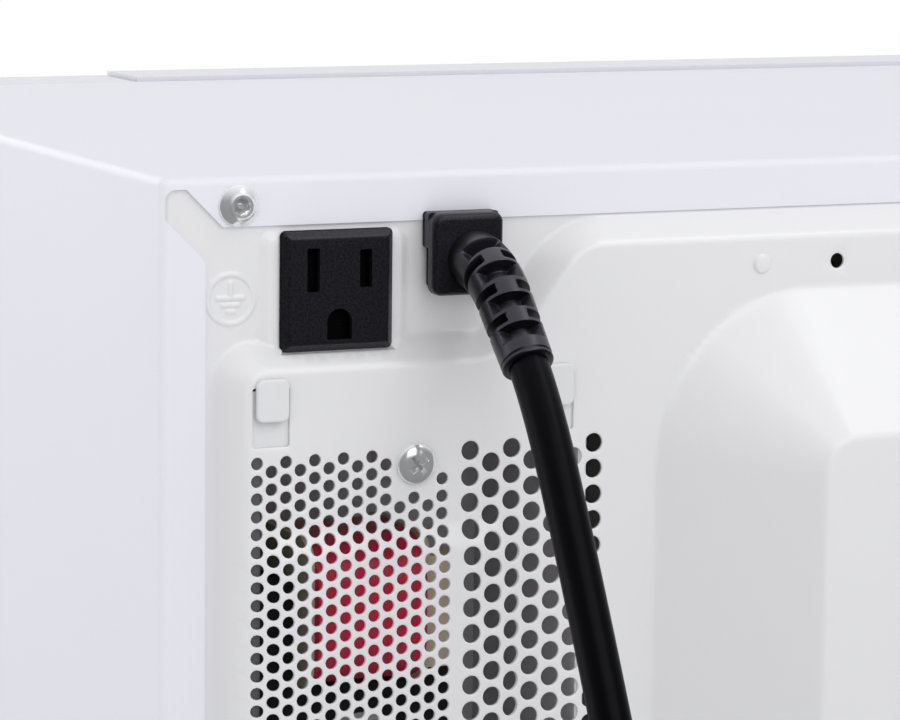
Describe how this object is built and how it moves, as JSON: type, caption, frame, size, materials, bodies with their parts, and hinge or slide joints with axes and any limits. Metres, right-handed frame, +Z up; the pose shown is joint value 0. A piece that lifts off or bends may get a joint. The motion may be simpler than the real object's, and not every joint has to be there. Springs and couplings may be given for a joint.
{
  "type": "microwave oven",
  "caption": "Compact countertop microwave with swing door, turntable, pressed rear panel with vents, accessory outlet and a corded plug.",
  "frame": {"origin": "centre of the footprint box, at the height of the worktop under the feet", "axes": "+X towards the control side, +Y towards the rear, +Z up; the door faces -Y"},
  "size_m": [0.44, 0.4471, 0.258],
  "materials": {
    "white_enamel": "glossy white paint",
    "panel_enamel": "glossy white paint on pressed steel",
    "cavity_enamel": "grey-white enamel",
    "plated_steel": "zinc plated steel",
    "white_plastic": "white moulding",
    "grey_keypad": "pale grey overlay",
    "smoked_window": "smoked clear sheet",
    "clear_sheet": "clear sheet",
    "screen_metal": "perforated sheet, black",
    "grey_plastic": "grey-white moulding",
    "spring_steel": "spring wire",
    "board_green": "circuit board",
    "black_plastic": "textured black moulding",
    "black_rubber": "soft black jacket",
    "core_steel": "varnished laminations",
    "winding": "varnished winding",
    "red_winding": "red enamelled wire",
    "cream_plastic": "cream moulding",
    "can_metal": "drawn can",
    "fin_metal": "thin fins",
    "mica": "mica sheet",
    "duct_plastic": "white moulding",
    "tray_glass": "clear pressed glass",
    "brass_strip": "sprung brass",
    "nickel": "nickel plated",
    "foot_rubber": "grey foot",
    "ring_plastic": "cream-white moulding"
  },
  "bodies": {
    "oven": {"outer_wrap": "white_enamel", "back_panel": "panel_enamel", "base_plate": "plated_steel", "feet": "foot_rubber", "cavity_shell": "cavity_enamel", "front_plate": "white_enamel", "hinge_upper": "plated_steel", "hinge_lower": "plated_steel", "control_panel": "white_plastic", "keypad_overlay": "grey_keypad", "display_lens": "smoked_window", "control_board": "board_green", "button_spring": "spring_steel", "interlock_bracket": "grey_plastic", "interlock_switches": "black_plastic", "transformer_core": "core_steel", "transformer_windings": "winding", "capacitor": "can_metal", "capacitor_clamp": "plated_steel", "hv_diode": "black_plastic", "magnetron_yoke": "plated_steel", "magnetron_fins": "fin_metal", "magnetron_antenna": "plated_steel", "waveguide": "plated_steel", "mica_cover": "mica", "fan_duct": "duct_plastic", "fan_motor_core": "core_steel", "fan_motor_coil": "red_winding", "coil_bobbin": "cream_plastic", "turntable_motor": "plated_steel", "oven_lamp": "can_metal", "filter_board": "board_green", "thermal_cutouts": "black_plastic", "accessory_outlet": "black_plastic", "outlet_contacts": "brass_strip", "cord_gland": "black_plastic", "cord_boot": "black_rubber", "mains_cord": "black_rubber", "cord_coil": "black_rubber", "plug_body": "black_rubber", "plug_pins": "nickel", "screws": "plated_steel"},
    "door": {"door_frame": "white_plastic", "door_window": "smoked_window", "door_inner_frame": "white_enamel", "door_screen": "screen_metal", "door_inner_window": "clear_sheet", "choke_cover": "grey_plastic", "latch_spring": "spring_steel"},
    "latch": {"latch_bar": "grey_plastic"},
    "button": {"door_button": "white_plastic"},
    "lever": {"release_lever": "grey_plastic"},
    "turntable": {"drive_coupler": "ring_plastic", "glass_tray": "tray_glass"},
    "ring": {"roller_ring": "ring_plastic"},
    "wheel_a": {"roller_a": "ring_plastic"},
    "wheel_b": {"roller_b": "ring_plastic"},
    "wheel_c": {"roller_c": "ring_plastic"},
    "fan": {"fan_shaft": "plated_steel", "fan_blade": "cream_plastic"}
  },
  "joints": [
    {"name": "door_swing", "type": "hinge", "parent": "oven", "child": "door", "pos_m": [-0.212, -0.1473, 0.13], "axis": [0, 0, -1], "range_deg": [0, 100]},
    {"name": "latch_slide", "type": "slide", "parent": "door", "child": "latch", "axis": [0, 0, 1], "range_m": [-0.0033, 0], "deforming": ["latch_spring"]},
    {"name": "button_push", "type": "slide", "parent": "oven", "child": "button", "axis": [0, 1, 0], "range_m": [0, 0.004], "stiffness_N_per_m": 300, "springref_m": -0.001, "deforming": ["button_spring"]},
    {"name": "lever_swing", "type": "hinge", "parent": "oven", "child": "lever", "pos_m": [0.127, -0.1313, 0.054], "axis": [1, 0, 0], "range_deg": [0, 17.7]},
    {"name": "turntable_spin", "type": "hinge", "parent": "oven", "child": "turntable", "pos_m": [-0.0465, 0.00725, 0.041], "axis": [0, 0, 1], "continuous": true},
    {"name": "ring_spin", "type": "hinge", "parent": "oven", "child": "ring", "pos_m": [-0.0465, 0.00725, 0.041], "axis": [0, 0, 1], "continuous": true},
    {"name": "fan_spin", "type": "hinge", "parent": "oven", "child": "fan", "pos_m": [0.167, 0.098, 0.118], "axis": [0, 1, 0], "continuous": true},
    {"name": "wheel_a_roll", "type": "hinge", "parent": "ring", "child": "wheel_a", "pos_m": [-0.0465, 0.09525, 0.041], "axis": [0, 1, 0], "continuous": true},
    {"name": "wheel_b_roll", "type": "hinge", "parent": "ring", "child": "wheel_b", "pos_m": [-0.12271, -0.03675, 0.041], "axis": [-0.866, -0.5, 0], "continuous": true},
    {"name": "wheel_c_roll", "type": "hinge", "parent": "ring", "child": "wheel_c", "pos_m": [0.02971, -0.03675, 0.041], "axis": [0.866, -0.5, 0], "continuous": true}
  ],
  "couplings": [
    {"joint": "lever_swing", "follows": "button_push", "rad_per_m": 76.923},
    {"joint": "ring_spin", "follows": "turntable_spin", "ratio": 0.5},
    {"joint": "wheel_a_roll", "follows": "turntable_spin", "ratio": -6.2857},
    {"joint": "wheel_b_roll", "follows": "turntable_spin", "ratio": -6.2857},
    {"joint": "wheel_c_roll", "follows": "turntable_spin", "ratio": -6.2857}
  ]
}
